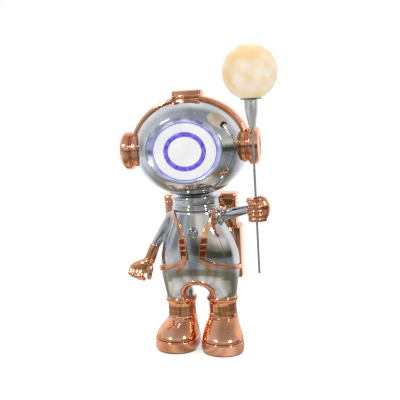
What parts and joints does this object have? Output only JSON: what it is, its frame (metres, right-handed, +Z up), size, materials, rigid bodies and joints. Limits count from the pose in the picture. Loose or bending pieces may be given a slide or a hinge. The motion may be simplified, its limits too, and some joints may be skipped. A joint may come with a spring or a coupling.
{
  "type": "figure floor lamp",
  "caption": "Standing floor lamp shaped as a plated astronaut with a lit visor; its fist grips a staff that carries a moon globe light.",
  "frame": {"origin": "on the floor under the middle of the bounding box", "axes": "+Z up, the figure faces -Y, its left hand with the staff is on +X"},
  "size_m": [0.5978, 0.3959, 1.1712],
  "materials": {
    "plated_silver": "cast resin, mirror plated",
    "plated_copper": "cast resin, copper plated",
    "rubber": "moulded",
    "iron": "as cast",
    "steel": "drawn tube, polished",
    "plate": "dark lacquer",
    "black_plastic": "moulded",
    "white_plastic": "moulded",
    "diffuser": "opal, lit from behind",
    "ring_light": "violet light guide",
    "moon": "printed relief, lit from inside",
    "board": "circuit board",
    "clear_glass": "opal bulb"
  },
  "bodies": {
    "figure": {"boot_sole_left": "plated_copper", "boot_sole_right": "plated_copper", "boot_left": "plated_copper", "boot_right": "plated_copper", "sole_pad_left": "rubber", "sole_pad_right": "rubber", "ballast_left": "iron", "ballast_right": "iron", "boot_bolts": "steel", "cord_grommet": "rubber", "torso_shell": "plated_silver", "arch_trim": "plated_copper", "shoulder_strap_left": "plated_copper", "shoulder_strap_right": "plated_copper", "waist_strap_left": "plated_copper", "waist_strap_right": "plated_copper", "buckle_left": "plated_copper", "buckle_right": "plated_copper", "switch_bezel": "plated_silver", "switch_body": "black_plastic", "helmet_shell": "plated_silver", "visor_bezel": "plated_silver", "visor_diffuser": "diffuser", "visor_light_ring": "ring_light", "visor_center": "diffuser", "visor_board": "board", "visor_pan": "white_plastic", "headband": "plated_copper", "headband_block": "plated_copper", "ear_flange_left": "plated_copper", "ear_flange_right": "plated_copper", "ear_cup_left": "plated_copper", "ear_cup_right": "plated_copper", "neck_collar": "plated_silver", "arm_left": "plated_silver", "arm_right": "plated_silver", "cuff_right": "plated_copper", "wrist_band_right": "plated_copper", "glove_right": "plated_copper", "fist_left": "plated_copper", "backpack_shell": "plated_copper", "backpack_lid": "plated_copper", "backpack_pocket": "plated_copper", "led_driver": "white_plastic"},
    "push_button": {"switch_button": "plated_silver"},
    "bush": {"grip_bush": "black_plastic"},
    "staff": {"staff_rod": "steel", "globe_holder": "plated_silver", "globe_plate": "plate", "moon_globe": "moon", "lamp_holder": "white_plastic", "led_bulb": "clear_glass"}
  },
  "joints": [
    {"name": "switch_press", "type": "slide", "parent": "figure", "child": "push_button", "axis": [0, 1, 0], "range_m": [0, 0.0025], "stiffness_N_per_m": 800, "springref_m": -0.001},
    {"name": "staff_turn", "type": "hinge", "parent": "figure", "child": "bush", "pos_m": [0.22656, -0.098, 0.57511], "axis": [-0.0593, 0, 0.9982], "range_deg": [-170, 170]},
    {"name": "staff_slide", "type": "slide", "parent": "bush", "child": "staff", "axis": [-0.0593, 0, 0.9982], "range_m": [-0.03, 0.1]}
  ]
}
